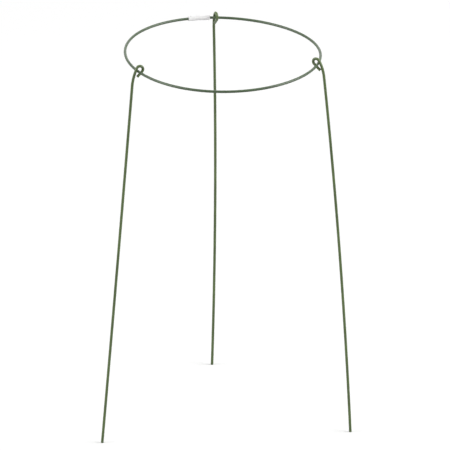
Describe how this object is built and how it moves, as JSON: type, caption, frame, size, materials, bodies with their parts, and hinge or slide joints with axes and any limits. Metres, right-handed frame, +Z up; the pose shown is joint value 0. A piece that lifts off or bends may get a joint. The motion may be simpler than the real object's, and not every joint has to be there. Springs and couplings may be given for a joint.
{
  "type": "grow through plant support",
  "caption": "Grow-through plant support: a plastic-coated wire hoop, its ends joined in a milky sleeve, standing on wire legs that hook round it with pigtail eyes and fold.",
  "frame": {"origin": "middle of the overall bounding box, on the ground that the feet stand on", "axes": "+Z up, the hoop lies level near the top; +Y towards the leg at the back; +X to the right as the support is seen from the front"},
  "size_m": [0.4514, 0.4206, 0.7237],
  "materials": {
    "green_coating": "satin grey-green plastic coating, drawn smooth over the wire",
    "steel_wire": "drawn steel wire, seen only where it is cut",
    "milky_sleeve": "milky, slightly see-through plastic tube"
  },
  "bodies": {
    "hoop": {"hoop_core": "steel_wire", "hoop_coating": "green_coating"},
    "sleeve": {"joining_sleeve": "milky_sleeve"},
    "leg_back": {"leg_back_core": "steel_wire", "leg_back_coating": "green_coating"},
    "leg_left": {"leg_left_core": "steel_wire", "leg_left_coating": "green_coating"},
    "leg_right": {"leg_right_core": "steel_wire", "leg_right_coating": "green_coating"}
  },
  "joints": [
    {"name": "leg_back_swing", "type": "hinge", "parent": "hoop", "child": "leg_back", "pos_m": [-0.02278, 0.14575, 0.7091], "axis": [0.9992, 0.0351, -0.0193], "range_deg": [-93, 90]},
    {"name": "leg_left_swing", "type": "hinge", "parent": "hoop", "child": "leg_left", "pos_m": [-0.15817, -0.11513, 0.70911], "axis": [-0.4975, 0.8672, 0.0202], "range_deg": [-89, 90]},
    {"name": "leg_right_swing", "type": "hinge", "parent": "hoop", "child": "leg_right", "pos_m": [0.15871, -0.08179, 0.71167], "axis": [-0.2436, -0.9698, 0.0082], "range_deg": [-85, 90]},
    {"name": "sleeve_slide", "type": "hinge", "parent": "hoop", "child": "sleeve", "pos_m": [-0.01714, -0.02017, 0.71031], "axis": [0.0199, 0.0081, 0.9998], "range_deg": [0, 6.8]}
  ]
}
